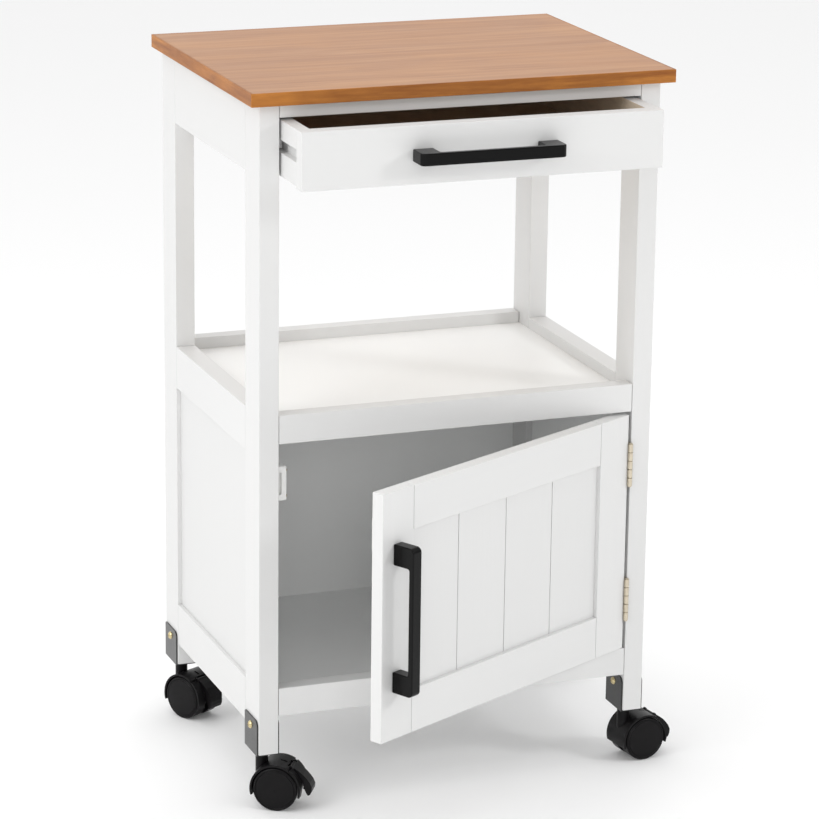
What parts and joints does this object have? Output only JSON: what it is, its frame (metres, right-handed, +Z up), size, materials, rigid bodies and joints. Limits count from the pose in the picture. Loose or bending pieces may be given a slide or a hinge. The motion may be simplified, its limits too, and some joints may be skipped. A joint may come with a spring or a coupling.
{
  "type": "kitchen island cart",
  "caption": "Small white kitchen island cart on swivel castors: wooden worktop, inset drawer, open shelf, cupboard with a hinged boarded door, black bar handles",
  "frame": {"origin": "on the floor, under the middle of the box around the cart as stored, with its drawer and door partly open", "axes": "+X to the right along the front, +Y to the back, +Z up"},
  "size_m": [0.5372, 0.5859, 0.836],
  "materials": {
    "oiled_wood": "oiled solid hardwood boards with fine straight grain along the width",
    "white_paint": "solid wood under smooth satin white paint",
    "white_board": "thin board under satin white paint",
    "dark_board": "dark brown faced hardboard",
    "black_metal": "satin black powder coat on die-cast metal",
    "black_plate": "satin black coat on pressed steel plate",
    "hinge_brass": "pale brass-plated steel, satin",
    "yellow_zinc": "yellow zinc-plated steel",
    "zinc": "bright zinc-plated steel",
    "catch_plastic": "white moulded plastic around a flat magnet",
    "castor_plastic": "black moulded nylon, satin",
    "wheel_plastic": "black moulded nylon wheels"
  },
  "bodies": {
    "frame": {"worktop": "oiled_wood", "leg_front_left": "white_paint", "leg_front_right": "white_paint", "leg_rear_left": "white_paint", "leg_rear_right": "white_paint", "front_top_rail": "white_paint", "rear_apron": "white_paint", "side_apron_left": "white_paint", "side_apron_right": "white_paint", "drawer_runner_left": "white_paint", "drawer_runner_right": "white_paint", "shelf_panel": "white_board", "shelf_front_rail": "white_paint", "shelf_rear_rail": "white_paint", "shelf_side_rail_left": "white_paint", "shelf_side_rail_right": "white_paint", "side_panel_left": "white_board", "side_panel_right": "white_board", "bottom_side_rail_left": "white_paint", "bottom_side_rail_right": "white_paint", "bottom_front_rail": "white_paint", "bottom_panel": "white_board", "back_panel": "white_board", "hinge_frame_leaves": "hinge_brass", "hinge_pins": "hinge_brass", "frame_screws": "yellow_zinc", "magnetic_catch": "catch_plastic", "castor_brackets": "black_plate"},
    "drawer": {"drawer_front": "white_paint", "drawer_side_left": "white_paint", "drawer_side_right": "white_paint", "drawer_back": "dark_board", "drawer_bottom": "dark_board", "drawer_handle": "black_metal", "drawer_handle_screws": "zinc"},
    "door": {"door_handle_stile": "white_paint", "door_hinge_stile": "white_paint", "door_top_rail": "white_paint", "door_bottom_rail": "white_paint", "door_boards": "white_board", "door_handle": "black_metal", "door_screws": "zinc", "hinge_door_leaves": "hinge_brass", "strike_plate": "zinc"},
    "castor_front_left_swivel": {"castor_front_left_housing": "castor_plastic"},
    "castor_front_left_wheelset": {"castor_front_left_wheels": "wheel_plastic", "castor_front_left_axle": "zinc"},
    "castor_front_left_pedal": {"castor_front_left_brake": "castor_plastic"},
    "castor_front_right_swivel": {"castor_front_right_housing": "castor_plastic"},
    "castor_front_right_wheelset": {"castor_front_right_wheels": "wheel_plastic", "castor_front_right_axle": "zinc"},
    "castor_front_right_pedal": {"castor_front_right_brake": "castor_plastic"},
    "castor_rear_left_swivel": {"castor_rear_left_housing": "castor_plastic"},
    "castor_rear_left_wheelset": {"castor_rear_left_wheels": "wheel_plastic", "castor_rear_left_axle": "zinc"},
    "castor_rear_left_pedal": {"castor_rear_left_brake": "castor_plastic"},
    "castor_rear_right_swivel": {"castor_rear_right_housing": "castor_plastic"},
    "castor_rear_right_wheelset": {"castor_rear_right_wheels": "wheel_plastic", "castor_rear_right_axle": "zinc"},
    "castor_rear_right_pedal": {"castor_rear_right_brake": "castor_plastic"}
  },
  "joints": [
    {"name": "drawer_slide", "type": "slide", "parent": "frame", "child": "drawer", "axis": [0, -1, 0], "range_m": [-0.068, 0.15]},
    {"name": "door_hinge", "type": "hinge", "parent": "frame", "child": "door", "pos_m": [0.19455, -0.0754, 0.291], "axis": [0, 0, 1], "range_deg": [-28.2, 141.4]},
    {"name": "castor_front_left_swivel_turn", "type": "hinge", "parent": "frame", "child": "castor_front_left_swivel", "pos_m": [-0.2435, -0.048, 0.06], "axis": [0, 0, 1], "continuous": true},
    {"name": "castor_front_left_roll", "type": "hinge", "parent": "castor_front_left_swivel", "child": "castor_front_left_wheelset", "pos_m": [-0.22654, -0.0586, 0.026], "axis": [0.5299, 0.848, 0], "continuous": true},
    {"name": "castor_front_left_brake_press", "type": "hinge", "parent": "castor_front_left_swivel", "child": "castor_front_left_pedal", "pos_m": [-0.2125, -0.06737, 0.05054], "axis": [0.5299, 0.848, 0], "range_deg": [0, 10]},
    {"name": "castor_front_right_swivel_turn", "type": "hinge", "parent": "frame", "child": "castor_front_right_swivel", "pos_m": [0.2075, -0.048, 0.06], "axis": [0, 0, 1], "continuous": true},
    {"name": "castor_front_right_roll", "type": "hinge", "parent": "castor_front_right_swivel", "child": "castor_front_right_wheelset", "pos_m": [0.22731, -0.04522, 0.026], "axis": [-0.1392, 0.9903, 0], "continuous": true},
    {"name": "castor_front_right_brake_press", "type": "hinge", "parent": "castor_front_right_swivel", "child": "castor_front_right_pedal", "pos_m": [0.2437, -0.04291, 0.05054], "axis": [-0.1392, 0.9903, 0], "range_deg": [0, 10]},
    {"name": "castor_rear_left_swivel_turn", "type": "hinge", "parent": "frame", "child": "castor_rear_left_swivel", "pos_m": [-0.2435, 0.269, 0.06], "axis": [0, 0, 1], "continuous": true},
    {"name": "castor_rear_left_roll", "type": "hinge", "parent": "castor_rear_left_swivel", "child": "castor_rear_left_wheelset", "pos_m": [-0.23411, 0.25134, 0.026], "axis": [0.8829, 0.4695, 0], "continuous": true},
    {"name": "castor_rear_left_brake_press", "type": "hinge", "parent": "castor_rear_left_swivel", "child": "castor_rear_left_pedal", "pos_m": [-0.22634, 0.23673, 0.05054], "axis": [0.8829, 0.4695, 0], "range_deg": [0, 10]},
    {"name": "castor_rear_right_swivel_turn", "type": "hinge", "parent": "frame", "child": "castor_rear_right_swivel", "pos_m": [0.2075, 0.269, 0.06], "axis": [0, 0, 1], "continuous": true},
    {"name": "castor_rear_right_roll", "type": "hinge", "parent": "castor_rear_right_swivel", "child": "castor_rear_right_wheelset", "pos_m": [0.22629, 0.26216, 0.026], "axis": [0.342, 0.9397, 0], "continuous": true},
    {"name": "castor_rear_right_brake_press", "type": "hinge", "parent": "castor_rear_right_swivel", "child": "castor_rear_right_pedal", "pos_m": [0.24185, 0.2565, 0.05054], "axis": [0.342, 0.9397, 0], "range_deg": [0, 10]}
  ]
}
